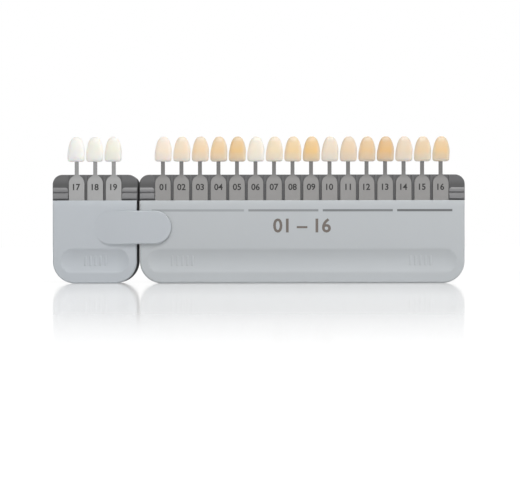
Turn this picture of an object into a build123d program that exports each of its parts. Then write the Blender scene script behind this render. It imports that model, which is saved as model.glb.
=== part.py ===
from build123d import *
from dataclasses import dataclass
import os

# Dental shade guide: a long handle with sixteen pull-out tabs, and a short extension with three more
# X runs along the handle, -Y is the front, Z is up; everything is in millimetres

# Driving dimensions
TAB_PITCH = 9.5
MAIN_TAB_COUNT = 16
EXTRA_TAB_COUNT = 3
MAIN_LENGTH = 166.3
EXTRA_LENGTH = 43.0
MAIN_ROW_SHIFT = -0.15
HOLDER_GAP = 1.5
HANDLE_HEIGHT = 42.4
RAIL_TOP = 55.7
TIP_HEIGHT = 75.25
HALF_DEPTH = 5.7

# Handle mouldings
CORNER_RADIUS = 11.3
EDGE_BEVEL = 0.6
TOP_BEVEL_HEIGHT = 3.5
TOP_BEVEL_DEPTH = 0.75
WALL = 1.8
HOLLOW_DEPTH = 3.0
SHELF_LOW = 26.0
SHELF_HIGH = 28.0
RIB_THICKNESS = 1.2
RIB_SETBACK = 0.5

# Dished finger grip along the handle
SCOOP_CENTRE = 11.55
SCOOP_HALF_HEIGHT = 6.65
SCOOP_DEPTH = 1.2
SCOOP_MARGIN = 3.7

# Square posts of the front moulding and the sockets of the back one
POST_WIDTH = 3.0
POST_CLEARANCE = 0.05
POST_REACH = 2.0
SOCKET_WALL = 1.2
POST_HEIGHT = 21.5

# Rail with an open channel for each tab
RAIL_OVERHANG = 0.45
RAIL_CORNER_RADIUS = 5.0
RAIL_EDGE_BEVEL = 0.4
RAIL_FACE = 3.75
GUIDE_FACE = 4.2
GUIDE_TOP = 41.8
SEAT_CLEARANCE = 0.05
RAIL_HOLLOW_FRONT = 2.0
RAIL_HOLLOW_BACK = 2.5
RAIL_ROOF = 1.7
RAIL_END_WALL = 4.0
TABS_PER_HOLLOW = 4

# Grip pad at each end of the rail: two ridges that swell downwards and are undercut below
PAD_LOW = 42.95
PAD_HIGH = 49.05
PAD_RELIEF = 0.15
PAD_CORNER_RADIUS = 1.5
PAD_REACH = 4.33
RIDGE_SWELL = 0.12
RIDGE_UNDERCUT = 0.5
RIDGES = ((PAD_LOW, 46.45, 0.85), (46.45, PAD_HIGH, 0.7))

# Tab: steel carrier
PLATE_WIDTH = 8.1
PLATE_THICKNESS = 0.9
PLATE_FRONT = 4.15
PLATE_LOW = 33.0
PLATE_SIDE_CLEARANCE = 0.1
PLATE_FRONT_CLEARANCE = 0.1
ARCH_CENTRE = 51.25
STEM_WIDTH = 2.0
STEM_CHAMFER = 0.7
PLATE_CORNER = 0.8
TANG_LENGTH = 5.0
TANG_TIP = 0.4
CEMENT_GAP = 0.03

# Tab: ceramic tooth, measured from its biting edge
TOOTH_BASE = 62.35
TOOTH_HALF_WIDTH = 4.48
TOOTH_LEAN = 0.4
TOOTH_BELLY = 3.5
TOOTH_WAIST = 7.2
WAIST_HALF_WIDTH = 4.15
TOOTH_SHOULDER = 10.2
SHOULDER_HALF_WIDTH = 3.25
NECK_HALF_WIDTH = 1.9
NECK_DROP = 0.7
BITING_HALF_WIDTH = 4.35
BITING_CORNER = 0.65
LABIAL_BULGE = 2.25
LABIAL_PEAK = 5.8
LABIAL_EDGE = 0.95
LINGUAL_BULGE = 1.6
BITING_FRONT = 1.35
BITING_BACK = 1.2
NECK_FRONT = 1.1
NECK_BACK = 0.9

# Spring comb that bears on the plates from behind
SPRING_THICKNESS = 0.25
SPRING_LOW = 34.2
SPRING_HIGH = 41.6
SPINE_HEIGHT = 2.0
FINGER_WIDTH = 4.0
SPRING_GROOVE_DEPTH = 0.6
SPRING_GROOVE_MARGIN = 0.2
KNEE_RISE = 1.0

# Tongue of the extension, which laps over the main handle
TONGUE_CENTRE = 28.6
TONGUE_HEIGHT = 17.0
TONGUE_LEFT = -84.2
TONGUE_CREST = -60.0
TONGUE_RIGHT = -44.55
TONGUE_FACE = 6.9
TONGUE_START = 5.65
TONGUE_ROOT = 4.6
TONGUE_EDGE_BEVEL = 0.45
LAP_CLEARANCE = 0.15


@dataclass(frozen=True)
class Holder:
    """One handle: its two ends and the centres of its channels, along X."""

    left: float
    right: float
    tabs: tuple


def make_holder(left, length, tab_count, row_shift=0):
    """A holder whose channels stand at the pitch about its middle, or a little to one side of it."""
    middle = left + length / 2 + row_shift
    first = middle - TAB_PITCH * (tab_count - 1) / 2
    return Holder(left, left + length, tuple(first + TAB_PITCH * i for i in range(tab_count)))


TOTAL_LENGTH = EXTRA_LENGTH + HOLDER_GAP + MAIN_LENGTH
EXTRA = make_holder(-TOTAL_LENGTH / 2, EXTRA_LENGTH, EXTRA_TAB_COUNT)
MAIN = make_holder(EXTRA.right + HOLDER_GAP, MAIN_LENGTH, MAIN_TAB_COUNT, MAIN_ROW_SHIFT)
PLATE_BACK = PLATE_FRONT - PLATE_THICKNESS
CHANNEL_FLOOR = PLATE_BACK - SEAT_CLEARANCE
FRONT_POCKET = PLATE_FRONT + PLATE_FRONT_CLEARANCE
BACK_POCKET = RAIL_FACE + SEAT_CLEARANCE


def block(x, y, z):
    """A block between two values along each axis."""
    spans = [sorted(pair) for pair in (x, y, z)]
    centre = [(low + high) / 2 for low, high in spans]
    return Pos(*centre) * Box(*[high - low for low, high in spans])


def front_rectangle(left, right, low, high):
    """A rectangle in the front view, on the middle plane."""
    return Plane.XZ * (Pos((left + right) / 2, (low + high) / 2) * Rectangle(right - left, high - low))


def slab(face, front, back):
    """A front-view face made solid from y = -front to y = -back."""
    return extrude(Pos(0, -back, 0) * face, front - back)


def scoop(left, right):
    """Cutter for the dished grip: a long round-ended bar of large radius that dips into the face."""
    radius = (SCOOP_HALF_HEIGHT**2 + SCOOP_DEPTH**2) / (2 * SCOOP_DEPTH)
    low_x = left + SCOOP_MARGIN + SCOOP_HALF_HEIGHT
    high_x = right - SCOOP_MARGIN - SCOOP_HALF_HEIGHT
    axis_y = -(HALF_DEPTH - SCOOP_DEPTH + radius)
    bar = Pos((low_x + high_x) / 2, axis_y, SCOOP_CENTRE) * Rot(0, 90, 0) * Cylinder(radius, high_x - low_x)
    ends = [Pos(x, axis_y, SCOOP_CENTRE) * Sphere(radius) for x in (low_x, high_x)]
    return bar + ends


def handle_half(holder, pocket_depth):
    """Front half of a handle: rounded outline, bevelled top lip, dished grip and hollow inside."""
    outline = front_rectangle(holder.left, holder.right, 0, HANDLE_HEIGHT)
    outline = fillet(outline.vertices().group_by(Axis.Z)[0], CORNER_RADIUS)
    half = slab(outline, HALF_DEPTH, 0)
    rim = half.faces().sort_by(Axis.Y)[0].edges().sort_by(Axis.Z)[:-1]
    half = chamfer(rim, EDGE_BEVEL)

    lip = [(-HALF_DEPTH, HANDLE_HEIGHT - TOP_BEVEL_HEIGHT), (-HALF_DEPTH + TOP_BEVEL_DEPTH, HANDLE_HEIGHT)]
    wedge = Plane.YZ * make_face(Polyline(*lip, (-HALF_DEPTH, HANDLE_HEIGHT), close=True))
    half -= extrude(wedge, TOTAL_LENGTH, both=True)

    hollow = front_rectangle(holder.left + WALL, holder.right - WALL, WALL, SHELF_LOW)
    hollow = fillet(hollow.vertices().group_by(Axis.Z)[0], CORNER_RADIUS - WALL)
    half -= slab(hollow, HOLLOW_DEPTH, 0)
    inside = (holder.left + WALL, holder.right - WALL)
    half -= block(inside, (0, -pocket_depth), (SHELF_HIGH, HANDLE_HEIGHT))
    return half - scoop(holder.left, holder.right)


def tongue():
    """Round-ended tongue that rises out of the face in a long shallow curve and laps the main handle."""
    middle = (TONGUE_LEFT + TONGUE_RIGHT) / 2
    outline = Plane.XZ * (Pos(middle, TONGUE_CENTRE) * SlotOverall(TONGUE_RIGHT - TONGUE_LEFT, TONGUE_HEIGHT))
    body = slab(outline, TONGUE_FACE, TONGUE_ROOT)
    body = chamfer(body.faces().sort_by(Axis.Y)[0].edges(), TONGUE_EDGE_BEVEL)
    crest = (TONGUE_CREST, -TONGUE_FACE)
    start = (TONGUE_LEFT, -TONGUE_START)
    rise = TangentArc(crest, start, tangent=(-1, 0))
    above = make_face([rise, Polyline(start, (TONGUE_LEFT, -TONGUE_FACE), crest)])
    body -= extrude(above, HANDLE_HEIGHT)
    lap = HALF_DEPTH + LAP_CLEARANCE
    return body - block((EXTRA.right, TONGUE_RIGHT), (-lap, 0), (0, HANDLE_HEIGHT))


def post_places(holder):
    """Places of the posts along X: four in the long handle, two in the short one."""
    count = 4 if len(holder.tabs) > EXTRA_TAB_COUNT else 2
    step = (holder.right - holder.left) / count
    return [holder.left + step * (i + 0.5) for i in range(count)]


def stiffening_ribs(holder):
    """Upright ribs across the hollow of a half, one midway between each two posts."""
    places = post_places(holder)
    middles = [(a + b) / 2 for a, b in zip(places, places[1:])]
    half = RIB_THICKNESS / 2
    return [block((x - half, x + half), (-HOLLOW_DEPTH, -RIB_SETBACK), (WALL, SHELF_LOW)) for x in middles]


def square_post(x, width, y_from, y_to):
    """A square post along Y at the height of the posts."""
    half = width / 2
    return block((x - half, x + half), (y_from, y_to), (POST_HEIGHT - half, POST_HEIGHT + half))


def front_shell(holder):
    """Front moulding: the half with posts."""
    shell = handle_half(holder, FRONT_POCKET) + stiffening_ribs(holder)
    if holder is EXTRA:
        shell += tongue()
    return shell + [square_post(x, POST_WIDTH, -HOLLOW_DEPTH, POST_REACH) for x in post_places(holder)]


def back_shell(holder):
    """Back moulding: the mirrored half, with a socket for each post."""
    shell = handle_half(holder, BACK_POCKET) + stiffening_ribs(holder)
    if holder is EXTRA:
        shell += tongue()
    shell = mirror(shell, Plane.XZ)
    inner = POST_WIDTH + 2 * POST_CLEARANCE
    shell += [square_post(x, inner + 2 * SOCKET_WALL, 0, HOLLOW_DEPTH) for x in post_places(holder)]
    return shell - [square_post(x, inner, -1, POST_REACH + POST_CLEARANCE) for x in post_places(holder)]


def grip_pad(x_from, x_to, inner):
    """Raised pad with two grip ridges on the front of a rail end; its inner top corner is round."""
    base = RAIL_FACE + PAD_RELIEF
    root = 1 - RAIL_FACE
    corners = [(root, PAD_LOW), (-base, PAD_LOW), (-base, PAD_HIGH), (root, PAD_HIGH)]
    section = make_face(Polyline(*corners, close=True))
    for low, high, height in RIDGES:
        crest = (-base - height, low + RIDGE_UNDERCUT)
        swell = (-base - height / 2 - RIDGE_SWELL, (high + low + RIDGE_UNDERCUT) / 2)
        slope = ThreePointArc((-base, high), swell, crest)
        section += make_face([slope, Polyline(crest, (-base, low), (-base, high))])
    bar = extrude(Plane.YZ * section, TOTAL_LENGTH, both=True)
    outline = front_rectangle(x_from, x_to, PAD_LOW, PAD_HIGH)
    corner = [v for v in outline.vertices().group_by(Axis.Z)[-1] if abs(v.X - inner) < SEAT_CLEARANCE]
    return slab(fillet(corner, PAD_CORNER_RADIUS), HALF_DEPTH, 0) & bar


def tab_rail(holder):
    """Dark moulding that holds the tabs: open channels, thin separators, padded ends, hollow below."""
    crown_ends = (holder.left - RAIL_OVERHANG, holder.right + RAIL_OVERHANG)
    crown = front_rectangle(*crown_ends, HANDLE_HEIGHT, RAIL_TOP)
    crown = fillet(crown.vertices().group_by(Axis.Z)[-1], RAIL_CORNER_RADIUS)
    rail = slab(crown, RAIL_FACE, -RAIL_FACE)
    faces = rail.faces().sort_by(Axis.Y)
    rims = [edge for face in (faces[0], faces[-1]) for edge in face.edges().sort_by(Axis.Z)[1:]]
    rail = chamfer(rims, RAIL_EDGE_BEVEL)

    left = holder.left + WALL + SEAT_CLEARANCE
    right = holder.right - WALL - SEAT_CLEARANCE
    rail += block((left, right), (-GUIDE_FACE, RAIL_FACE), (SHELF_HIGH, GUIDE_TOP))
    rail += block((left, right), (-RAIL_FACE, RAIL_FACE), (GUIDE_TOP, HANDLE_HEIGHT))

    left_inner = holder.tabs[0] - PAD_REACH
    right_inner = holder.tabs[-1] + PAD_REACH
    pads = [grip_pad(holder.left, left_inner, left_inner), grip_pad(right_inner, holder.right, right_inner)]
    for pad in pads:
        rail += pad
        rail += mirror(pad, Plane.XZ)

    half = PLATE_WIDTH / 2 + PLATE_SIDE_CLEARANCE
    for x in holder.tabs:
        rail -= block((x - half, x + half), (-HALF_DEPTH, -CHANNEL_FLOOR), (PLATE_LOW, TIP_HEIGHT))
    groove = (holder.tabs[0] - half, holder.tabs[-1] + half)
    groove_floor = CHANNEL_FLOOR - SPRING_GROOVE_DEPTH
    groove_ends = (SPRING_LOW - SPRING_GROOVE_MARGIN, SPRING_HIGH + SPRING_GROOVE_MARGIN)
    rail -= block(groove, (-CHANNEL_FLOOR, -groove_floor), groove_ends)

    return rail - rail_hollows(holder)


def rail_hollows(holder):
    """Pockets that lighten the rail from below, with a cross rib after every few tabs."""
    stations = [holder.left + RAIL_END_WALL]
    for tab in holder.tabs[TABS_PER_HOLLOW - 1:-1:TABS_PER_HOLLOW]:
        wall = tab + TAB_PITCH / 2
        stations += [wall - RIB_THICKNESS / 2, wall + RIB_THICKNESS / 2]
    stations.append(holder.right - RAIL_END_WALL)
    return [
        block((low, high), (-RAIL_HOLLOW_FRONT, RAIL_HOLLOW_BACK), (SHELF_HIGH, RAIL_TOP - RAIL_ROOF))
        for low, high in zip(stations[::2], stations[1::2])
    ]


def tab_spring(holder):
    """Spring-steel comb: a spine in the groove and a bent finger behind each plate."""
    spine_back = -(CHANNEL_FLOOR - SPRING_GROOVE_DEPTH) - SEAT_CLEARANCE
    spine_front = spine_back - SPRING_THICKNESS
    ends = (holder.tabs[0] - FINGER_WIDTH, holder.tabs[-1] + FINGER_WIDTH)
    spine_top = SPRING_LOW + SPINE_HEIGHT
    comb = block(ends, (spine_front, spine_back), (SPRING_LOW, spine_top))
    touch = -PLATE_BACK + CEMENT_GAP
    knee = (spine_top + SPRING_HIGH) / 2 + KNEE_RISE
    bend = [(spine_front, spine_top), (touch, knee), (spine_front, SPRING_HIGH)]
    outline = bend + [(y + SPRING_THICKNESS, z) for y, z in reversed(bend)]
    finger = extrude(Plane.YZ * make_face(Polyline(*outline, close=True)), FINGER_WIDTH / 2, both=True)
    return comb + [Pos(x, 0, 0) * finger for x in holder.tabs]


def carrier(x):
    """Steel carrier stamped in one piece: plate with a round arch, stem, and tang inside the tooth."""
    tang_top = TOOTH_BASE + TANG_LENGTH
    plate = Pos(0, (PLATE_LOW + ARCH_CENTRE) / 2) * Rectangle(PLATE_WIDTH, ARCH_CENTRE - PLATE_LOW)
    plate = chamfer(plate.vertices().group_by(Axis.Y)[0], PLATE_CORNER)
    plate += Pos(0, ARCH_CENTRE) * Circle(PLATE_WIDTH / 2)
    stem = Pos(0, (ARCH_CENTRE + tang_top) / 2) * Rectangle(STEM_WIDTH, tang_top - ARCH_CENTRE)
    shape = plate + chamfer(stem.vertices().group_by(Axis.Y)[-1], TANG_TIP)
    roots = [v for v in shape.vertices() if ARCH_CENTRE + 1 < v.Y < TOOTH_BASE]
    shape = chamfer(roots, STEM_CHAMFER)
    return slab(Plane.XZ * (Pos(x, 0) * shape), PLATE_FRONT, PLATE_BACK)


def tooth_front_view():
    """Outline of a tooth from the front, its neck leaning to one side."""
    height = TIP_HEIGHT - TOOTH_BASE
    half_outline = [
        (BITING_HALF_WIDTH - BITING_CORNER, 0),
        (BITING_HALF_WIDTH, BITING_CORNER),
        (TOOTH_HALF_WIDTH, TOOTH_BELLY),
        (WAIST_HALF_WIDTH, TOOTH_WAIST),
        (SHOULDER_HALF_WIDTH, TOOTH_SHOULDER),
        (NECK_HALF_WIDTH, height - NECK_DROP),
    ]
    shift = [TOOTH_LEAN * max(z - TOOTH_BELLY, 0) / (height - TOOTH_BELLY) for _, z in half_outline]
    right = [(px + dx, z) for (px, z), dx in zip(half_outline, shift)]
    left = [(dx - px, z) for (px, z), dx in zip(half_outline, shift)]
    return make_face(Polyline(*right, (TOOTH_LEAN, height), *reversed(left), close=True))


def tooth(x):
    """Upper front tooth, biting edge down: front view, side view and plan brought together."""
    height = TIP_HEIGHT - TOOTH_BASE
    labial = ThreePointArc((-BITING_FRONT, 0), (-LABIAL_BULGE, LABIAL_PEAK), (-NECK_FRONT, height))
    back = [(NECK_BACK, height), (LINGUAL_BULGE, TOOTH_SHOULDER), (BITING_BACK, 0)]
    side_view = make_face([labial, Polyline(labial @ 1, *back, labial @ 0)])

    half = TOOTH_HALF_WIDTH + TOOTH_LEAN
    front_arc = ThreePointArc((-half, -LABIAL_EDGE), (0, -LABIAL_BULGE), (half, -LABIAL_EDGE))
    corners = [(half, LINGUAL_BULGE), (-half, LINGUAL_BULGE)]
    plan = make_face([front_arc, Polyline(front_arc @ 1, *corners, front_arc @ 0)])

    crown = slab(Plane.XZ * tooth_front_view(), HALF_DEPTH, -HALF_DEPTH)
    crown &= extrude(Plane.YZ * side_view, TAB_PITCH, both=True)
    crown &= extrude(plan, height)
    stem_axis = -(PLATE_FRONT + PLATE_BACK) / 2
    crown = Pos(x, stem_axis, TOOTH_BASE) * crown

    half_tang = STEM_WIDTH / 2 + CEMENT_GAP
    half_sheet = PLATE_THICKNESS / 2 + CEMENT_GAP
    socket_top = TOOTH_BASE + TANG_LENGTH + CEMENT_GAP
    socket_depth = (stem_axis - half_sheet, stem_axis + half_sheet)
    return crown - block((x - half_tang, x + half_tang), socket_depth, (TOOTH_BASE - 1, socket_top))


def nodes():
    """Every piece by its name."""
    pieces = {
        "front_shell": front_shell(MAIN),
        "back_shell": back_shell(MAIN),
        "tab_rail": tab_rail(MAIN),
        "tab_spring": tab_spring(MAIN),
        "extension_front_shell": front_shell(EXTRA),
        "extension_back_shell": back_shell(EXTRA),
        "extension_rail": tab_rail(EXTRA),
        "extension_spring": tab_spring(EXTRA),
    }
    for number, x in enumerate(MAIN.tabs + EXTRA.tabs, start=1):
        pieces[f"carrier_{number:02d}"] = carrier(x)
        pieces[f"tooth_{number:02d}"] = tooth(x)
    return pieces


os.makedirs("parts", exist_ok=True)
for name, piece in nodes().items():
    export_step(piece, f"parts/{name}.step")
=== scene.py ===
import logging
import math
from dataclasses import dataclass, field
from enum import Enum

import bmesh
import bpy
from mathutils import Matrix, Vector


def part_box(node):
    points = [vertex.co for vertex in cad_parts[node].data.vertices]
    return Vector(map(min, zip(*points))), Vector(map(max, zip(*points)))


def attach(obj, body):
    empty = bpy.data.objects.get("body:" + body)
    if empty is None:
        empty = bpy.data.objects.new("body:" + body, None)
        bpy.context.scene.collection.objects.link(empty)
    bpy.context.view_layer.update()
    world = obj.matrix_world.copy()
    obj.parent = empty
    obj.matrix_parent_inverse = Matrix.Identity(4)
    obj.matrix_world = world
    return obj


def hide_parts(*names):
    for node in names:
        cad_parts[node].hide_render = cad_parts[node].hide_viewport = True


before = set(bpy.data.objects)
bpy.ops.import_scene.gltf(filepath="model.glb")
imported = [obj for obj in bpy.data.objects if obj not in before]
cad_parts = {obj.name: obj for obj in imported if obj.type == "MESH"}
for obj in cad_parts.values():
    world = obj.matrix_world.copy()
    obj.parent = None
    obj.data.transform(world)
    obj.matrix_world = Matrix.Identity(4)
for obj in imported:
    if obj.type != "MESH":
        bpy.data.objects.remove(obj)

# Tooth shade guide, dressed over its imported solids: X along the handle, -Y the front, Z up, in metres
MM = 0.001
LOG = logging.getLogger("shade_guide")

# How a solid's loose triangles become a clean mesh: merge distance, then the turns that count as flat and as hard
MERGE_MM = 0.002
FLAT_DEGREES = 0.6
HARD_DEGREES = 28
SMOOTH_DEGREES = 32
ROUND_SEGMENTS = 2


# Colours, nodes and small mesh helpers


def linear(code: str, alpha: float = 1.0) -> tuple[float, float, float, float]:
    """Turn an sRGB hex colour into the linear values that a shader takes.

    Args:
        code: Six hex digits, with or without a leading #.
        alpha: Opacity to put beside the three channels.

    Returns:
        Linear red, green and blue, and alpha.
    """
    digits = code.lstrip("#")
    channels = [int(digits[i:i + 2], 16) / 255 for i in (0, 2, 4)]
    red, green, blue = (c / 12.92 if c <= 0.04045 else ((c + 0.055) / 1.055) ** 2.4 for c in channels)
    return red, green, blue, alpha


def add_node(tree: bpy.types.NodeTree, kind: str, inputs: dict | None = None, **settings: object) -> bpy.types.Node:
    """Add one shader node with its settings, values and links.

    Args:
        tree: Node tree that takes the node.
        kind: Node type, such as ShaderNodeBsdfPrincipled.
        inputs: Input name or number, with the value it keeps or the output socket that feeds it.
        settings: Attributes of the node itself.

    Returns:
        The new node.
    """
    node = tree.nodes.new(kind)
    for name, value in settings.items():
        setattr(node, name, value)
    for key, value in (inputs or {}).items():
        if isinstance(value, bpy.types.NodeSocket):
            tree.links.new(value, node.inputs[key])
        else:
            node.inputs[key].default_value = value
    return node


def empty_material(name: str) -> bpy.types.Material:
    """Make a material with an empty node tree.

    Args:
        name: Name of the material.

    Returns:
        The material, ready for its nodes.
    """
    material = bpy.data.materials.new(name)
    material.use_nodes = True
    material.node_tree.nodes.clear()
    return material


def object_from(mesh: bmesh.types.BMesh, name: str, material: bpy.types.Material) -> bpy.types.Object:
    """Turn a finished bmesh into an object at the origin.

    Args:
        mesh: The bmesh, which is freed here.
        name: Name of the object and its mesh.
        material: Its only material.

    Returns:
        The linked object.
    """
    data = bpy.data.meshes.new(name)
    mesh.to_mesh(data)
    mesh.free()
    data.materials.append(material)
    piece = bpy.data.objects.new(name, data)
    bpy.context.scene.collection.objects.link(piece)
    return piece


def shade_by_angle(mesh: bmesh.types.BMesh, degrees: float) -> None:
    """Shade a bmesh smooth, and keep each edge sharp that turns by more than an angle.

    Args:
        mesh: The bmesh to mark.
        degrees: Largest turn that is still shaded smooth.
    """
    limit = math.radians(degrees)
    for face in mesh.faces:
        face.smooth = True
    for edge in mesh.edges:
        edge.smooth = edge.is_manifold and edge.calc_face_angle(0.0) < limit


def round_edges(mesh: bmesh.types.BMesh, degrees: float, radius_mm: float) -> None:
    """Round each edge that turns by more than an angle.

    Args:
        mesh: The bmesh to round.
        degrees: Smallest turn that is rounded.
        radius_mm: Radius in millimetres.
    """
    hard = [e for e in mesh.edges if e.is_manifold and e.calc_face_angle(0.0) > math.radians(degrees)]
    bmesh.ops.bevel(
        mesh, geom=hard, offset=radius_mm * MM, offset_type="OFFSET", affect="EDGES", segments=ROUND_SEGMENTS,
        profile=0.5, material=-1, clamp_overlap=True,
    )


def refined_copy(node: str, name: str, material: bpy.types.Material, edge_mm: float) -> bpy.types.Object:
    """Copy a rigid solid, round its hard edges as moulding or stamping leaves them, and shade it smooth.

    Args:
        node: Solid to copy, which the new piece then stands for.
        name: Name of the new piece.
        material: Its finish.
        edge_mm: Radius of the rounded edges.

    Returns:
        The refined piece.
    """
    mesh = bmesh.new()
    mesh.from_mesh(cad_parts[node].data)
    bmesh.ops.remove_doubles(mesh, verts=mesh.verts, dist=MERGE_MM * MM)
    bmesh.ops.dissolve_limit(mesh, angle_limit=math.radians(FLAT_DEGREES), verts=mesh.verts, edges=mesh.edges)
    round_edges(mesh, HARD_DEGREES, edge_mm)
    shade_by_angle(mesh, SMOOTH_DEGREES)
    piece = object_from(mesh, name, material)
    flatten = piece.modifiers.new("flat_faces_stay_flat", "WEIGHTED_NORMAL")
    flatten.weight = 100
    flatten.keep_sharp = True
    return piece


# Finishes


@dataclass(frozen=True)
class MouldedPlastic:
    """Injection-moulded plastic with the fine spark-eroded grain of its mould.

    The grain spreads each highlight into a soft satin sheen, and its tone drifts a little with the flow.
    Where it stands proud it is painted paler, a painted highlight, and low down between the plates it is painted
    darker, a painted shade.
    """

    name: str
    colour: str
    grain_mm: float = 0.35
    grain_depth_mm: float = 0.012
    roughness: float = 0.42
    ior: float = 1.53
    drift_mm: float = 45.0
    drift: float = 0.02
    specular: float = 0.5
    # Painted highlight where it stands proud, then painted shade low down between the plates
    ridge_highlight_from_mm: float = 20.0
    ridge_highlight_fade_mm: float = 0.13
    wear: float = 1.0
    low_shade_top_mm: float = 53.0
    low_shade_fade_mm: float = 2.5
    low_shade: float = 1.0

    def material(self) -> bpy.types.Material:
        """Build the plastic.

        Returns:
            The material.
        """
        material = empty_material(self.name)
        tree = material.node_tree
        place = add_node(tree, "ShaderNodeTexCoord").outputs["Object"]
        grain = add_node(
            tree, "ShaderNodeTexNoise",
            {"Vector": place, "Scale": 1 / (self.grain_mm * MM), "Detail": 2.0, "Roughness": 0.6},
        )
        drift = add_node(
            tree, "ShaderNodeTexNoise",
            {"Vector": place, "Scale": 1 / (self.drift_mm * MM), "Detail": 1.0, "Roughness": 0.4},
        )
        tone = add_node(
            tree, "ShaderNodeMapRange",
            {"Value": drift.outputs["Fac"], "To Min": 1 - self.drift, "To Max": 1 + self.drift},
        )
        axes = add_node(tree, "ShaderNodeSeparateXYZ", {"Vector": place})
        reach = add_node(tree, "ShaderNodeMath", {0: axes.outputs["Y"]}, operation="ABSOLUTE")
        # Painted highlight: paler where the surface stands proud to the front or back
        ridge_highlit = add_node(
            tree, "ShaderNodeMapRange",
            {"Value": reach.outputs["Value"], "From Min": self.ridge_highlight_from_mm * MM,
             "From Max": (self.ridge_highlight_from_mm + self.ridge_highlight_fade_mm) * MM, "To Min": 1.0, "To Max": self.wear},
        )
        # Painted shade: darker low down, between the plates
        low_shaded = add_node(
            tree, "ShaderNodeMapRange",
            {"Value": axes.outputs["Z"], "From Min": (self.low_shade_top_mm - self.low_shade_fade_mm) * MM,
             "From Max": self.low_shade_top_mm * MM, "To Min": self.low_shade, "To Max": 1.0},
        )
        tone_and_painted_light = add_node(
            tree, "ShaderNodeMath", {0: tone.outputs["Result"], 1: ridge_highlit.outputs["Result"]}, operation="MULTIPLY",
        )
        value = add_node(
            tree, "ShaderNodeMath", {0: tone_and_painted_light.outputs["Value"], 1: low_shaded.outputs["Result"]}, operation="MULTIPLY",
        )
        colour = add_node(
            tree, "ShaderNodeHueSaturation", {"Value": value.outputs["Value"], "Color": linear(self.colour)},
        )
        gloss = add_node(
            tree, "ShaderNodeMapRange",
            {"Value": grain.outputs["Fac"], "To Min": self.roughness - 0.05, "To Max": self.roughness + 0.07},
        )
        bump = add_node(
            tree, "ShaderNodeBump",
            {"Height": grain.outputs["Fac"], "Strength": 0.5, "Distance": self.grain_depth_mm * MM},
        )
        surface = add_node(
            tree, "ShaderNodeBsdfPrincipled",
            {"Base Color": colour.outputs["Color"], "Roughness": gloss.outputs["Result"], "IOR": self.ior,
             "Specular IOR Level": self.specular, "Normal": bump.outputs["Normal"]},
        )
        add_node(tree, "ShaderNodeOutputMaterial", {"Surface": surface.outputs["BSDF"]})
        return material


@dataclass(frozen=True)
class BlastedSteel:
    """Stamped stainless sheet, bead-blasted matt, with the faint drawn grain of the strip along Z.

    The blasting turns its mirror into an even grey; over the stems it is painted darker, a painted shade.
    """

    name: str
    colour: str
    roughness: float = 0.38
    grain_mm: float = 0.18
    grain_length: float = 14.0
    cloud_mm: float = 6.0
    # Painted shade over the stems: between these levels the steel is painted darker
    stem_from_mm: float = 53.6
    stem_to_mm: float = 56.6
    painted_stem_shade: float = 0.6

    def material(self) -> bpy.types.Material:
        """Build the steel.

        Returns:
            The material.
        """
        material = empty_material(self.name)
        tree = material.node_tree
        place = add_node(tree, "ShaderNodeTexCoord").outputs["Object"]
        drawn = add_node(tree, "ShaderNodeMapping", {"Vector": place, "Scale": (1.0, 1.0, 1 / self.grain_length)})
        grain = add_node(
            tree, "ShaderNodeTexNoise",
            {"Vector": drawn.outputs["Vector"], "Scale": 1 / (self.grain_mm * MM), "Detail": 3.0, "Roughness": 0.6},
        )
        cloud = add_node(
            tree, "ShaderNodeTexNoise", {"Vector": place, "Scale": 1 / (self.cloud_mm * MM), "Detail": 2.0},
        )
        tone = add_node(
            tree, "ShaderNodeMapRange", {"Value": cloud.outputs["Fac"], "To Min": 0.95, "To Max": 1.05},
        )
        axes = add_node(tree, "ShaderNodeSeparateXYZ", {"Vector": place})
        # Painted shade: darker over the stems between the plate and the tooth
        stem_shade_mask = add_node(
            tree, "ShaderNodeMapRange",
            {"Value": axes.outputs["Z"], "From Min": self.stem_from_mm * MM, "From Max": self.stem_to_mm * MM,
             "To Min": 1.0, "To Max": self.painted_stem_shade},
        )
        tone_and_painted_light = add_node(
            tree, "ShaderNodeMath", {0: tone.outputs["Result"], 1: stem_shade_mask.outputs["Result"]}, operation="MULTIPLY",
        )
        colour = add_node(
            tree, "ShaderNodeHueSaturation", {"Value": tone_and_painted_light.outputs["Value"], "Color": linear(self.colour)},
        )
        gloss = add_node(
            tree, "ShaderNodeMapRange",
            {"Value": grain.outputs["Fac"], "To Min": self.roughness - 0.08, "To Max": self.roughness + 0.1},
        )
        bump = add_node(
            tree, "ShaderNodeBump", {"Height": grain.outputs["Fac"], "Strength": 0.35, "Distance": 0.01 * MM},
        )
        surface = add_node(
            tree, "ShaderNodeBsdfPrincipled",
            {"Base Color": colour.outputs["Color"], "Metallic": 1.0, "Roughness": gloss.outputs["Result"],
             "Normal": bump.outputs["Normal"]},
        )
        add_node(tree, "ShaderNodeOutputMaterial", {"Surface": surface.outputs["BSDF"]})
        return material


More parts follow.
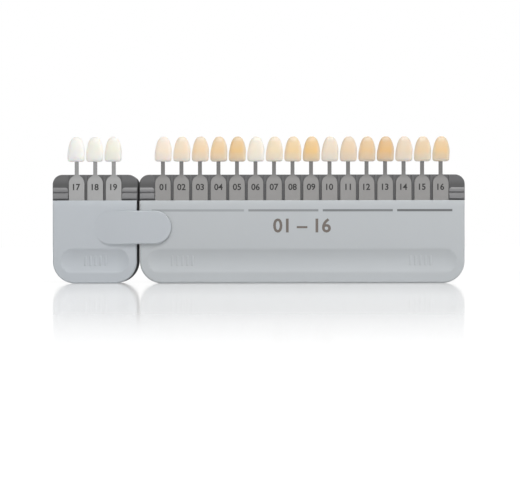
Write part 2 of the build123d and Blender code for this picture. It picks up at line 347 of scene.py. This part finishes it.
@dataclass(frozen=True)
class ToothCeramic:
    """Fired dental ceramic: a warm opaque body under clearer enamel that greys towards the biting edge.

    Light scatters a millimetre or so inside it, so edges look soft, and the glaze gives small highlights.
    """

    name: str
    body: str
    middle_x: float
    base_z: float
    height_mm: float = 12.9
    wander_mm: float = 2.2
    wander: float = 0.05
    ripple_mm: float = 4.5
    ripple_depth_mm: float = 0.02
    # The rim layer at the sides is partly the enamel's own paler, greyer edge and partly painted light: it is also
    # made brighter, for light shining through the thin sides
    rim_from_mm: float = 2.3
    rim_to_mm: float = 4.4
    rim_strength: float = 0.8
    rim_layer: tuple = (-0.42, 1.08)
    # Share of the height, strength of the hue and brightness, from the biting edge to the neck
    layers: tuple = (
        (0.0, -0.45, 1.02), (0.2, -0.05, 1.02), (0.42, 0.3, 0.99), (0.68, 0.15, 0.97), (0.92, -0.1, 0.88),
    )

    def material(self) -> bpy.types.Material:
        """Build the ceramic of one tooth.

        Returns:
            The material.
        """
        material = empty_material(self.name)
        tree = material.node_tree
        place = add_node(tree, "ShaderNodeTexCoord").outputs["Object"]
        centred = add_node(
            tree, "ShaderNodeMapping", {"Vector": place, "Location": (-self.middle_x, 0.0, -self.base_z)},
        )
        axes = add_node(tree, "ShaderNodeSeparateXYZ", {"Vector": centred.outputs["Vector"]})
        wander = add_node(
            tree, "ShaderNodeTexNoise",
            {"Vector": place, "Scale": 1 / (self.wander_mm * MM), "Detail": 2.0, "Roughness": 0.5},
        )
        height = add_node(
            tree, "ShaderNodeMapRange", {"Value": axes.outputs["Z"], "From Max": self.height_mm * MM},
        )
        uneven = add_node(
            tree, "ShaderNodeMapRange",
            {"Value": wander.outputs["Fac"], "To Min": -self.wander, "To Max": self.wander},
        )
        level = add_node(
            tree, "ShaderNodeMath",
            {0: height.outputs["Result"], 1: uneven.outputs["Result"]}, operation="ADD", use_clamp=True,
        )
        layered = add_node(tree, "ShaderNodeValToRGB", {"Fac": level.outputs["Value"]})
        ramp = layered.color_ramp
        ramp.interpolation = "EASE"
        while len(ramp.elements) < len(self.layers):
            ramp.elements.new(0.5)
        for element, (position, depth, value) in zip(ramp.elements, self.layers):
            element.position = position
            element.color = self.layer(depth, value)
        side = add_node(tree, "ShaderNodeMath", {0: axes.outputs["X"]}, operation="ABSOLUTE")
        # Rim: the sides mix towards a paler, greyer and brighter layer, partly painted light
        rim = add_node(
            tree, "ShaderNodeMapRange",
            {"Value": side.outputs["Value"], "From Min": self.rim_from_mm * MM, "From Max": self.rim_to_mm * MM,
             "To Max": self.rim_strength},
            interpolation_type="SMOOTHSTEP",
        )
        colour = add_node(
            tree, "ShaderNodeMix",
            {0: rim.outputs["Result"], 6: layered.outputs["Color"], 7: self.layer(*self.rim_layer)},
            data_type="RGBA",
        )
        ripples = add_node(
            tree, "ShaderNodeTexWave",
            {"Vector": centred.outputs["Vector"], "Scale": 1 / (self.ripple_mm * MM), "Distortion": 2.0,
             "Detail": 2.0},
            bands_direction="Z",
        )
        bump = add_node(
            tree, "ShaderNodeBump",
            {"Height": ripples.outputs["Fac"], "Strength": 0.25, "Distance": self.ripple_depth_mm * MM},
        )
        surface = add_node(
            tree, "ShaderNodeBsdfPrincipled",
            {"Base Color": colour.outputs[2], "Roughness": 0.4, "IOR": 1.52, "Subsurface Weight": 0.6,
             "Subsurface Radius": (1.0, 0.75, 0.55), "Subsurface Scale": 1.4 * MM, "Coat Weight": 0.1,
             "Coat Roughness": 0.25, "Normal": bump.outputs["Normal"]},
        )
        add_node(tree, "ShaderNodeOutputMaterial", {"Surface": surface.outputs["BSDF"]})
        return material

    def layer(self, depth: float, value: float) -> tuple[float, float, float, float]:
        """Colour of one layer of the tooth.

        Args:
            depth: How much stronger the hue is than the body's; below zero it is paler and greyer.
            value: Brightness against the body's.

        Returns:
            Linear colour.
        """
        red, green, blue, alpha = linear(self.body)
        grey = 0.35 * red + 0.5 * green + 0.15 * blue
        return tuple(max(0.0, (grey + (c - grey) * (1 + depth)) * value) for c in (red, green, blue)) + (alpha,)


@dataclass(frozen=True)
class PadPrint:
    """Pad-printed ink: thin, flat and slightly satin, a little uneven where it sits on the grain."""

    name: str
    colour: str
    roughness: float = 0.5
    speckle_mm: float = 0.3

    def material(self) -> bpy.types.Material:
        """Build the ink.

        Returns:
            The material.
        """
        material = empty_material(self.name)
        tree = material.node_tree
        place = add_node(tree, "ShaderNodeTexCoord").outputs["Object"]
        speckle = add_node(
            tree, "ShaderNodeTexNoise", {"Vector": place, "Scale": 1 / (self.speckle_mm * MM), "Detail": 2.0},
        )
        tone = add_node(
            tree, "ShaderNodeMapRange", {"Value": speckle.outputs["Fac"], "To Min": 0.9, "To Max": 1.12},
        )
        colour = add_node(
            tree, "ShaderNodeHueSaturation", {"Value": tone.outputs["Result"], "Color": linear(self.colour)},
        )
        surface = add_node(
            tree, "ShaderNodeBsdfPrincipled",
            {"Base Color": colour.outputs["Color"], "Roughness": self.roughness, "IOR": 1.5},
        )
        add_node(tree, "ShaderNodeOutputMaterial", {"Surface": surface.outputs["BSDF"]})
        return material


# Light grey ABS: cool and satin, the palest moulding
HANDLE_PLASTIC = MouldedPlastic("moulded_abs_light_grey", "#b5b9bc")
# The same ABS, a touch lighter and bluer so the extension reads as a part of its own; the extra lightness is painted
# light, making up for the lamps lighting its face less
EXTENSION_PLASTIC = MouldedPlastic("moulded_abs_blue_grey", "#b6bbc0")
# Dark grey nylon: sets off the steel; its proud ridges are painted paler as a painted highlight, and the strips low
# down between the plates painted darker as a painted shade
RAIL_PLASTIC = MouldedPlastic(
    "moulded_nylon_dark_grey", "#5b5b5c", grain_mm=0.3, roughness=0.36, ridge_highlight_from_mm=3.77, wear=2.65,
    low_shade=0.62,
)
# Painted shade: the end walls that meet get a dark matt colour, so the gap between the handles reads as a black line
GAP_SHADE_PLASTIC = MouldedPlastic("painted_gap_shade", "#5e5f60", roughness=0.85, specular=0.1)
RAIL_GAP_SHADE_PLASTIC = MouldedPlastic("painted_deep_gap_shade", "#3e3e3f", roughness=0.85, specular=0.1)
# Blasted stainless steel: an even warm grey that lets the printed numbers be read, brighter on the extension
CARRIER_STEEL = BlastedSteel("blasted_stainless_steel", "#858483", painted_stem_shade=0.66)
EXTENSION_STEEL = BlastedSteel("blasted_stainless_steel_bright", "#969696", painted_stem_shade=0.78)
# Rolled spring steel: brighter and smoother, a glint at the foot of an empty channel
SPRING_STEEL = BlastedSteel("rolled_spring_steel", "#a3a3a5", roughness=0.25)
# Pad-print inks: near black on steel, and a warm grey-brown on the handle
NUMBER_INK = PadPrint("pad_print_black", "#1d1c1c")
TITLE_INK = PadPrint("pad_print_umber", "#6d645e")


class ShadeGroup(Enum):
    """Hue families of the sample teeth, each from its palest to its deepest."""

    REDDISH_BROWN = ("#f1e6d9", "#e6cca4", 5)
    REDDISH_YELLOW = ("#f0e9dc", "#e8cca0", 4)
    GREY = ("#e9dece", "#e0c198", 4)
    REDDISH_GREY = ("#e7d9c6", "#e6cfac", 3)
    BLEACHED = ("#f2f1ed", "#f0eee4", 3)

    def shade(self, step: int) -> str:
        """Colour of one tooth of the group.

        Args:
            step: Its place in the group, from 0.

        Returns:
            The body colour as sRGB hex.
        """
        pale, deep, count = self.value
        share = step / (count - 1)
        channels = [
            round(int(pale[i:i + 2], 16) * (1 - share) + int(deep[i:i + 2], 16) * share) for i in (1, 3, 5)
        ]
        return "#" + "".join(f"{c:02x}" for c in channels)


# Sub-assemblies


@dataclass
class Handles:
    """The two plastic handles: light shells, dark rails and the hidden springs; sizes in millimetres."""

    shell_edge: float = 0.35
    rail_edge: float = 0.2
    holder_gap: float = 1.5
    # How far in from the end the painted shade of the gap goes on the shells and on the rails, in millimetres
    gap_shade_reach: float = 8.0
    rail_gap_shade_reach: float = 0.6
    # A face belongs to an end wall when its normal points outwards by more than this, and to the front by less
    wall_turn: float = 0.3
    wall_edge_turn: float = 0.45
    shell_material: bpy.types.Material = field(default_factory=HANDLE_PLASTIC.material)
    extension_material: bpy.types.Material = field(default_factory=EXTENSION_PLASTIC.material)
    rail_material: bpy.types.Material = field(default_factory=RAIL_PLASTIC.material)
    gap_shade_material: bpy.types.Material = field(default_factory=GAP_SHADE_PLASTIC.material)
    rail_gap_shade_material: bpy.types.Material = field(default_factory=RAIL_GAP_SHADE_PLASTIC.material)
    spring_material: bpy.types.Material = field(default_factory=SPRING_STEEL.material)

    def build(self) -> list[bpy.types.Object]:
        """Refine each moulding and dress the springs.

        Returns:
            The new pieces.
        """
        made = []
        for body, prefix, rail in (("handle", "", "tab_rail"), ("extension", "extension_", "extension_rail")):
            shell = self.extension_material if prefix else self.shell_material
            jobs = [
                (f"{prefix}front_shell", shell, self.shell_edge, "handle_plastic"),
                (f"{prefix}back_shell", shell, self.shell_edge, "handle_plastic"),
                (rail, self.rail_material, self.rail_edge, "rail_plastic"),
            ]
            for node, material, edge, slot in jobs:
                piece = refined_copy(node, f"{node}_moulding", material, edge)
                # Painted shade on the end walls in the gap between the handles
                if material is shell:
                    self.paint_gap_shade(piece, body, self.gap_shade_material, self.gap_shade_reach)
                else:
                    self.paint_gap_shade(piece, body, self.rail_gap_shade_material, self.rail_gap_shade_reach)
                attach(piece, body)
                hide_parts(node)
                made.append(piece)
        for node in ("tab_spring", "extension_spring"):
            dress(node, self.spring_material)
        return made

    def paint_gap_shade(
        self, piece: bpy.types.Object, body: str, material: bpy.types.Material, reach: float,
    ) -> None:
        """Paint shade on the end wall that faces the other handle, as a dark matt material.

        Args:
            piece: A shell or a rail.
            body: The body it rides on.
            material: The dark matt material that paints the shade.
            reach: How far in from the end the wall goes, in millimetres.
        """
        long_handle_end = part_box("front_shell")[0].x
        side, end = (-1, long_handle_end) if body == "handle" else (1, long_handle_end - self.holder_gap * MM)
        piece.data.materials.append(material)
        for face in piece.data.polygons:
            outward = face.normal.x * side > self.wall_turn and abs(face.normal.y) < self.wall_edge_turn
            if outward and (face.center.x - end) * side > -reach * MM:
                face.material_index = 1


def dress(node: str, material: bpy.types.Material) -> None:
    """Give a solid that is shown as it is its finish.

    Args:
        node: Name of the solid.
        material: The finish for all its slots.
    """
    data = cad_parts[node].data
    if not data.materials:
        data.materials.append(material)
    for index in range(len(data.materials)):
        data.materials[index] = material


@dataclass
class Tab:
    """One pull-out tab: its number, body, place and shade."""

    number: int
    shade: str
    in_extension: bool

    @property
    def code(self) -> str:
        """Two-digit code that ends the names of the tab's solids."""
        return f"{self.number:02d}"

    @property
    def body(self) -> str:
        """Body that carries the tab's pieces."""
        return f"tab_{self.code}"

    @property
    def middle(self) -> float:
        """Middle of the carrier along X."""
        low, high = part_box(f"carrier_{self.code}")
        return (low.x + high.x) / 2


@dataclass
class Carriers:
    """The stamped steel carriers and their printed numbers; sizes in millimetres."""

    edge: float = 0.16
    digit_height: float = 3.1
    digit_level: float = 49.3
    ink_thickness: float = 0.015

    def build(self, tab: Tab, steel: bpy.types.Material, ink: bpy.types.Material) -> list[bpy.types.Object]:
        """Refine one carrier and print its number.

        Args:
            tab: The tab to make.
            steel: Finish of the carrier.
            ink: Finish of the number.

        Returns:
            The carrier and its number.
        """
        node = f"carrier_{tab.code}"
        carrier = refined_copy(node, f"{node}_stamping", steel, self.edge)
        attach(carrier, tab.body)
        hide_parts(node)
        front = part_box(node)[0].y
        place = Vector((tab.middle, front, self.digit_level * MM))
        number = printed_text(tab.code, f"number_{tab.code}", place, self.digit_height, ink, self.ink_thickness)
        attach(number, tab.body)
        return [carrier, number]


# The built-in font's figures are this share of its size high, and this share of their height bolder
FIGURE_SHARE = 0.7
FIGURE_WEIGHT = 0.032
CURVE_STEPS = 4
TEXT_MERGE_MM = 0.001


def printed_text(
    text: str, name: str, place: Vector, height: float, ink: bpy.types.Material, thickness: float,
) -> bpy.types.Object:
    """Print plain figures on a face that looks to the front.

    Args:
        text: The figures.
        name: Name of the piece.
        place: Middle of the print, on the face.
        height: Height of the figures in millimetres.
        ink: The finish.
        thickness: Thickness of the ink in millimetres.

    Returns:
        The print as a thin closed mesh.
    """
    curve = bpy.data.curves.new(name, "FONT")
    curve.body = text
    curve.align_x = "CENTER"
    curve.align_y = "CENTER"
    curve.size = height * MM / FIGURE_SHARE
    curve.resolution_u = CURVE_STEPS
    curve.extrude = thickness * MM / 2
    curve.offset = height * MM * FIGURE_WEIGHT
    holder = bpy.data.objects.new(name + "_curve", curve)
    bpy.context.scene.collection.objects.link(holder)
    bpy.context.view_layer.update()
    data = bpy.data.meshes.new_from_object(holder.evaluated_get(bpy.context.evaluated_depsgraph_get()))
    bpy.data.objects.remove(holder)
    mesh = bmesh.new()
    mesh.from_mesh(data)
    bpy.data.meshes.remove(data)
    bmesh.ops.remove_doubles(mesh, verts=mesh.verts, dist=TEXT_MERGE_MM * MM)
    xs = [v.co.x for v in mesh.verts]
    ys = [v.co.y for v in mesh.verts]
    centre = Vector(((min(xs) + max(xs)) / 2, (min(ys) + max(ys)) / 2, 0.0))
    bmesh.ops.translate(mesh, verts=mesh.verts, vec=-centre)
    bmesh.ops.rotate(mesh, verts=mesh.verts, cent=Vector(), matrix=Matrix.Rotation(math.radians(90), 3, "X"))
    bmesh.ops.translate(mesh, verts=mesh.verts, vec=place - Vector((0, thickness * MM / 2, 0)))
    return object_from(mesh, name, ink)


@dataclass
class CeramicTooth:
    """An upper front tooth, biting edge down on its stem; sizes in millimetres from the biting edge."""

    height: float = 12.9
    half_width: float = 4.36
    belly: float = 4.6
    crown_power: float = 1.5
    crown_fullness: float = 2.6
    taper: float = 0.05
    squareness: float = 2.5
    lean_low: float = 0.14
    lean_high: float = 0.4
    lean_from: float = 2.5
    lean_over: float = 5.0
    corner: float = 1.4
    edge_round: float = 0.65
    neck_round: float = 3.2
    bulge: float = 2.25
    bulge_level: float = 5.8
    edge_front: float = 1.35
    neck_front: float = 1.35
    edge_back: float = 1.1
    waist_back: float = 1.65
    waist_share: float = 0.7
    lobe: float = 0.05
    lobe_top: float = 9.0
    extension_offset: float = -0.5
    levels: int = 26
    segments: int = 44
    smooth_degrees: float = 50.0

    def width_at(self, level: float) -> float:
        """Half the width at a level: straight sides up to the belly, then a rounded crown.

        Args:
            level: Height above the biting edge.

        Returns:
            Half the width.
        """
        if level > self.belly:
            reach = (level - self.belly) / (self.height - self.belly)
            return self.half_width * max(0.0, 1 - reach**self.crown_power) ** (1 / self.crown_fullness)
        taper = self.taper * ((self.belly - level) / self.belly) ** 2
        rounding = 0.0
        if level < self.corner:
            rounding = self.corner - math.sqrt(max(0.0, self.corner**2 - (self.corner - level) ** 2))
        return self.half_width - taper - rounding

    def depth_at(self, level: float) -> tuple[float, float]:
        """Reach to the front and to the back at a level, both as positive numbers.

        Args:
            level: Height above the biting edge.

        Returns:
            Front reach and back reach.
        """
        if level < self.bulge_level:
            share = (self.bulge_level - level) / self.bulge_level
            front = self.bulge - (self.bulge - self.edge_front) * share**2
        else:
            share = (level - self.bulge_level) / (self.height - self.bulge_level)
            front = self.bulge - (self.bulge - self.neck_front) * share**2
        reach = min(1.0, level / (self.waist_share * self.height))
        back = self.edge_back + (self.waist_back - self.edge_back) * reach
        if level < self.edge_round:
            gap = (self.edge_round - level) / self.edge_round
            trim = self.edge_round * (1 - math.sqrt(max(0.0, 1 - gap**2)))
            return front - trim, back - trim
        if level > self.height - self.neck_round:
            gap = (level - self.height + self.neck_round) / self.neck_round
            close = math.sqrt(max(0.0, 1 - gap**2))
            return front * close, back * close
        return front, back

    def section(self, level: float, angle: float) -> tuple[float, float]:
        """One point of the tooth's section, about the stem's axis.

        Args:
            level: Height above the biting edge.
            angle: Angle about the axis; the front is at -90 degrees.

        Returns:
            X and Y in millimetres.
        """
        half = self.width_at(level)
        front, back = self.depth_at(level)
        power = 2 / self.squareness
        across = math.copysign(abs(math.cos(angle)) ** power, math.cos(angle))
        along = math.copysign(abs(math.sin(angle)) ** power, math.sin(angle))
        rise = min(1.0, max(0.0, (level - self.lean_from) / self.lean_over))
        lean = self.lean_low + (self.lean_high - self.lean_low) * rise * rise * (3 - 2 * rise)
        depth = back if along > 0 else front
        lobes = 0.0
        if along < 0:
            fade = max(0.0, 1 - level / self.lobe_top) * min(1.0, depth)
            lobes = -self.lobe * fade * math.cos(3 * math.pi * across) * abs(along)
        return lean + half * across, depth * along + lobes

    def build(self, tab: Tab, offset: float) -> bpy.types.Object:
        """Loft the tooth ring by ring from its biting edge to its neck.

        Args:
            tab: The tab it belongs to.
            offset: Shift along X from the stem in millimetres.

        Returns:
            The tooth.
        """
        low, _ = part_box(f"tooth_{tab.code}")
        carrier_low, carrier_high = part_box(f"carrier_{tab.code}")
        axis = Vector((tab.middle + offset * MM, (carrier_low.y + carrier_high.y) / 2, low.z))
        mesh = bmesh.new()
        ring = bmesh.ops.create_circle(mesh, cap_ends=True, segments=self.segments, radius=MM)["verts"]
        self.shape_ring(ring, 0.0, axis)
        edges = list({edge for vert in ring for edge in vert.link_edges})
        for step in range(1, self.levels):
            turn = math.pi * step / self.levels
            level = self.height * (1 - math.cos(turn)) / 2
            grown = bmesh.ops.extrude_edge_only(mesh, edges=edges)["geom"]
            edges = [g for g in grown if isinstance(g, bmesh.types.BMEdge)]
            ring = [g for g in grown if isinstance(g, bmesh.types.BMVert)]
            self.shape_ring(ring, level, axis)
        bmesh.ops.contextual_create(mesh, geom=edges)
        bmesh.ops.recalc_face_normals(mesh, faces=mesh.faces)
        shade_by_angle(mesh, self.smooth_degrees)
        ceramic = ToothCeramic(f"fired_ceramic_{tab.code}", tab.shade, axis.x, low.z)
        tooth = object_from(mesh, f"tooth_{tab.code}_crown", ceramic.material())
        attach(tooth, tab.body)
        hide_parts(f"tooth_{tab.code}")
        return tooth

    def shape_ring(self, ring: list[bmesh.types.BMVert], level: float, axis: Vector) -> None:
        """Set a ring of vertices to the tooth's section at a level.

        Args:
            ring: The vertices, which keep the angle that they have about the ring's middle.
            level: Height above the biting edge.
            axis: Foot of the stem's axis at the biting edge.
        """
        middle = sum((v.co for v in ring), Vector()) / len(ring)
        order = sorted(ring, key=lambda v: math.atan2(v.co.y - middle.y, v.co.x - middle.x))
        for index, vert in enumerate(order):
            x, y = self.section(level, 2 * math.pi * index / len(order) - math.pi)
            vert.co = axis + Vector((x, y, level)) * MM


@dataclass
class HandlePrint:
    """Plain print on the front shell: four group lines in deepening greys, and the range of the numbers.

    Sizes in millimetres; the line above the reddish-brown tabs passes just over the tongue.
    """

    line_level: float = 37.22
    line_thickness: float = 1.15
    line_gap: float = 2.2
    line_overhang: float = 5.6
    ink_thickness: float = 0.02
    title_level: float = 29.5
    title_middle: float = 22.1
    title_height: float = 6.8
    greys: tuple = ("#9ca0a3", "#8a8d8f", "#797c7e", "#67696b")

    def build(self, tabs: list[Tab], groups: list[list[Tab]]) -> list[bpy.types.Object]:
        """Print the lines and the title.

        Args:
            tabs: The tabs of the long handle.
            groups: The same tabs by hue family.

        Returns:
            The printed pieces.
        """
        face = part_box("front_shell")[0].y
        made = []
        between = [(one[-1].middle + other[0].middle) / 2 for one, other in zip(groups, groups[1:])]
        starts = [tabs[0].middle - self.line_overhang * MM] + [x + self.line_gap / 2 * MM for x in between]
        ends = [x - self.line_gap / 2 * MM for x in between] + [tabs[-1].middle + self.line_overhang * MM]
        for index, (left, right, grey) in enumerate(zip(starts, ends, self.greys), start=1):
            ink = PadPrint(f"pad_print_grey_{index}", grey).material()
            mesh = bmesh.new()
            bmesh.ops.create_cube(mesh, size=1.0)
            size = (right - left, self.ink_thickness * MM, self.line_thickness * MM)
            bmesh.ops.scale(mesh, verts=mesh.verts, vec=size)
            centre = Vector(((left + right) / 2, face - self.ink_thickness / 2 * MM, self.line_level * MM))
            bmesh.ops.translate(mesh, verts=mesh.verts, vec=centre)
            piece = object_from(mesh, f"group_line_{index}", ink)
            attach(piece, "handle")
            made.append(piece)
        place = Vector((self.title_middle * MM, face, self.title_level * MM))
        text = f"{tabs[0].code} – {tabs[-1].code}"
        title = printed_text(text, "number_range", place, self.title_height, TITLE_INK.material(), self.ink_thickness)
        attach(title, "handle")
        made.append(title)
        return made


@dataclass
class GripBars:
    """Slim raised bars in the dished grips, in the handles' own plastic; sizes in millimetres."""

    middles: tuple = (("extension", -83.7), ("handle", -39.2), ("handle", 82.8))
    count: int = 5
    pitch: float = 2.6
    width: float = 1.1
    height: float = 5.0
    proud: float = 0.16
    sunk: float = 0.3
    level: float = 11.55
    floor: float = 4.5
    dish_radius: float = 19.03
    dish_steps: int = 5
    rounding: float = 0.12
    rim_degrees: float = 45.0
    smooth_degrees: float = 50.0

    def build(self, plastics: dict[str, bpy.types.Material]) -> list[bpy.types.Object]:
        """Raise one row of bars in each place.

        Args:
            plastics: The plastic of each body.

        Returns:
            The rows.
        """
        made = []
        for number, (body, middle) in enumerate(self.middles, start=1):
            row = object_from(self.row_mesh(middle), f"grip_bars_{number}", plastics[body])
            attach(row, body)
            made.append(row)
        return made

    def row_mesh(self, middle: float) -> bmesh.types.BMesh:
        """Shape one row: blocks cut into short lengths, laid along the dish, then rounded.

        Args:
            middle: Middle of the row along X in millimetres.

        Returns:
            The row.
        """
        mesh = bmesh.new()
        for index in range(self.count):
            bar = bmesh.ops.create_cube(mesh, size=MM)["verts"]
            bmesh.ops.scale(mesh, verts=bar, vec=(self.width, self.proud + self.sunk, self.height))
            place = (middle + (index - (self.count - 1) / 2) * self.pitch, (self.sunk - self.proud) / 2, 0)
            bmesh.ops.translate(mesh, verts=bar, vec=Vector(place) * MM)
        upright = [edge for edge in mesh.edges if abs(edge.verts[0].co.z - edge.verts[1].co.z) > MM]
        bmesh.ops.subdivide_edges(mesh, edges=upright, cuts=self.dish_steps, use_grid_fill=True)
        for vert in mesh.verts:
            sag = self.dish_radius - math.sqrt(self.dish_radius**2 - (vert.co.z / MM) ** 2)
            vert.co += Vector((0, -self.floor - sag, self.level)) * MM
        round_edges(mesh, self.rim_degrees, self.rounding)
        shade_by_angle(mesh, self.smooth_degrees)
        return mesh


@dataclass
class Studio:
    """White table, soft lamps and the camera, straight in front of the guide.

    The camera's sizes are in millimetres, and those of the table and the lamps in metres.
    """

    width_px: int = 520
    mm_per_px: float = 0.51095
    distance: float = 430.0
    middle_x: float = 0.62
    middle_z: float = 20.8
    roll: float = 0.07
    face_y: float = -5.7
    sensor: float = 36.0
    clip: tuple = (0.01, 20.0)
    aim: tuple = (0.0, 0.0, 0.03)
    # Name, place, width and height, and watts of each soft box
    lamps: tuple = (
        ("lamp_above", (0.15, -0.45, 0.85), (0.9, 0.4), 7.5),
        ("lamp_front", (0.1, -1.4, 0.3), (1.5, 0.8), 2.8),
        ("lamp_behind", (0.1, 1.1, 1.1), (1.4, 0.6), 7.5),
    )
    room_light: float = 0.23
    table_half: float = 3.0
    glow_reach: tuple = (0.15, 0.7)
    glow: tuple = (0.82, 1.0)
    mirror_roughness: float = 0.1
    polish_reach: float = 0.3
    polish: tuple = ((0.0, 0.0), (0.21, 0.23), (0.41, 0.43), (0.66, 0.48), (1.0, 0.65))

    def build(self) -> None:
        """Set the colour view and make the table, world, lamps and camera."""
        scene = bpy.context.scene
        scene.view_settings.view_transform = "Standard"
        self.table()
        self.world(scene)
        for name, place, size, power in self.lamps:
            self.lamp(name, place, size, power)
        self.camera(scene)

    def table(self) -> None:
        """Make the white table, which the camera sees as pure white apart from shadow and reflection."""
        mesh = bmesh.new()
        bmesh.ops.create_grid(mesh, x_segments=1, y_segments=1, size=self.table_half)
        table = object_from(mesh, "table", self.table_material())

    def table_material(self) -> bpy.types.Material:
        """Build the lacquered white board, which mirrors the guide most sharply close to it.

        Returns:
            The material.
        """
        material = empty_material("lacquered_white_board")
        tree = material.node_tree
        path = add_node(tree, "ShaderNodeLightPath")
        place = add_node(tree, "ShaderNodeTexCoord").outputs["Object"]
        axes = add_node(tree, "ShaderNodeSeparateXYZ", {"Vector": place})
        away = add_node(tree, "ShaderNodeMath", {0: axes.outputs["Y"]}, operation="ABSOLUTE")
        reach = add_node(tree, "ShaderNodeVectorMath", {0: place}, operation="LENGTH")
        clear = add_node(
            tree, "ShaderNodeMapRange",
            {"Value": reach.outputs["Value"], "From Min": self.glow_reach[0], "From Max": self.glow_reach[1],
             "To Min": self.glow[0], "To Max": self.glow[1]},
        )
        board = add_node(tree, "ShaderNodeBsdfDiffuse", {"Color": linear("#ececec")})
        shaded = add_node(tree, "ShaderNodeBsdfDiffuse", {"Color": linear("#7c7c7c")})
        glow = add_node(
            tree, "ShaderNodeEmission", {"Color": linear("#ffffff"), "Strength": clear.outputs["Result"]},
        )
        lit = add_node(tree, "ShaderNodeAddShader", {0: shaded.outputs["BSDF"], 1: glow.outputs["Emission"]})
        mirror = add_node(
            tree, "ShaderNodeBsdfGlossy", {"Color": linear("#ffffff"), "Roughness": self.mirror_roughness},
        )
        nearness = add_node(
            tree, "ShaderNodeMapRange",
            {"Value": away.outputs["Value"], "From Min": self.polish_reach, "From Max": 0.0},
        )
        polish = add_node(tree, "ShaderNodeValToRGB", {"Fac": nearness.outputs["Result"]})
        while len(polish.color_ramp.elements) < len(self.polish):
            polish.color_ramp.elements.new(0.5)
        for element, (position, share) in zip(polish.color_ramp.elements, self.polish):
            element.position = position
            element.color = (share, share, share, 1.0)
        seen = add_node(
            tree, "ShaderNodeMixShader",
            {0: polish.outputs["Color"], 1: lit.outputs["Shader"], 2: mirror.outputs["BSDF"]},
        )
        both = add_node(
            tree, "ShaderNodeMixShader",
            {0: path.outputs["Is Camera Ray"], 1: board.outputs["BSDF"], 2: seen.outputs["Shader"]},
        )
        add_node(tree, "ShaderNodeOutputMaterial", {"Surface": both.outputs["Shader"]})
        return material

    def world(self, scene: bpy.types.Scene) -> None:
        """Surround the scene with white for the eye and soft grey light for the object.

        Args:
            scene: The scene that takes the world.
        """
        world = bpy.data.worlds.new("white_room")
        world.use_nodes = True
        tree = world.node_tree
        tree.nodes.clear()
        path = add_node(tree, "ShaderNodeLightPath")
        seen = add_node(
            tree, "ShaderNodeMath",
            {0: path.outputs["Is Camera Ray"], 1: path.outputs["Is Glossy Ray"]}, operation="MAXIMUM",
        )
        clear = add_node(
            tree, "ShaderNodeMath",
            {0: seen.outputs["Value"], 1: path.outputs["Is Transmission Ray"]}, operation="MAXIMUM",
        )
        light = add_node(tree, "ShaderNodeBackground", {"Color": linear("#ffffff"), "Strength": self.room_light})
        white = add_node(tree, "ShaderNodeBackground", {"Color": linear("#ffffff"), "Strength": 1.0})
        mix = add_node(
            tree, "ShaderNodeMixShader",
            {0: clear.outputs["Value"], 1: light.outputs["Background"], 2: white.outputs["Background"]},
        )
        add_node(tree, "ShaderNodeOutputWorld", {"Surface": mix.outputs["Shader"]})
        scene.world = world

    def lamp(self, name: str, place: tuple, size: tuple, power: float) -> None:
        """Hang one soft box that points at the guide.

        Args:
            name: Name of the lamp.
            place: Where it hangs, in metres.
            size: Its width and height.
            power: Watts.
        """
        light = bpy.data.lights.new(name, "AREA")
        light.shape = "RECTANGLE"
        light.size, light.size_y = size
        light.energy = power
        lamp = bpy.data.objects.new(name, light)
        lamp.location = place
        lamp.rotation_euler = (Vector(self.aim) - Vector(place)).to_track_quat("-Z", "Y").to_euler()
        bpy.context.scene.collection.objects.link(lamp)

    def camera(self, scene: bpy.types.Scene) -> None:
        """Place the camera so that the front face is shown at the photograph's scale.

        Args:
            scene: The scene that takes the camera.
        """
        view = bpy.data.cameras.new("camera")
        view.sensor_width = self.sensor
        view.lens = self.sensor * self.distance / (self.width_px * self.mm_per_px)
        view.clip_start, view.clip_end = self.clip
        camera = bpy.data.objects.new("camera", view)
        camera.location = (self.middle_x * MM, (self.face_y - self.distance) * MM, self.middle_z * MM)
        camera.rotation_euler = (math.radians(90), math.radians(self.roll), 0.0)
        scene.collection.objects.link(camera)
        scene.camera = camera


def main() -> None:
    """Build the guide piece by piece."""
    logging.basicConfig(level=logging.INFO, format="%(message)s")
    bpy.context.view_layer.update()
    Studio().build()
    handles = Handles()
    for piece in handles.build():
        LOG.info("handle: %s", piece.name)
    plastics = {"handle": handles.shell_material, "extension": handles.extension_material}
    for row in GripBars().build(plastics):
        LOG.info("grip: %s", row.name)

    families = [ShadeGroup.REDDISH_BROWN, ShadeGroup.REDDISH_YELLOW, ShadeGroup.GREY, ShadeGroup.REDDISH_GREY]
    groups, tabs = [], []
    for family in families:
        group = []
        for step in range(family.value[2]):
            group.append(Tab(len(tabs) + len(group) + 1, family.shade(step), False))
        groups.append(group)
        tabs += group
    bleached = [
        Tab(len(tabs) + step + 1, ShadeGroup.BLEACHED.shade(step), True)
        for step in range(ShadeGroup.BLEACHED.value[2])
    ]

    carriers, tooth = Carriers(), CeramicTooth()
    steel, bright, ink = CARRIER_STEEL.material(), EXTENSION_STEEL.material(), NUMBER_INK.material()
    for tab in tabs + bleached:
        made = carriers.build(tab, bright if tab.in_extension else steel, ink)
        made.append(tooth.build(tab, tooth.extension_offset if tab.in_extension else 0.0))
        LOG.info("tab %s: %s", tab.code, ", ".join(piece.name for piece in made))
    for piece in HandlePrint().build(tabs, groups):
        LOG.info("print: %s", piece.name)


if __name__ == "__main__":
    main()
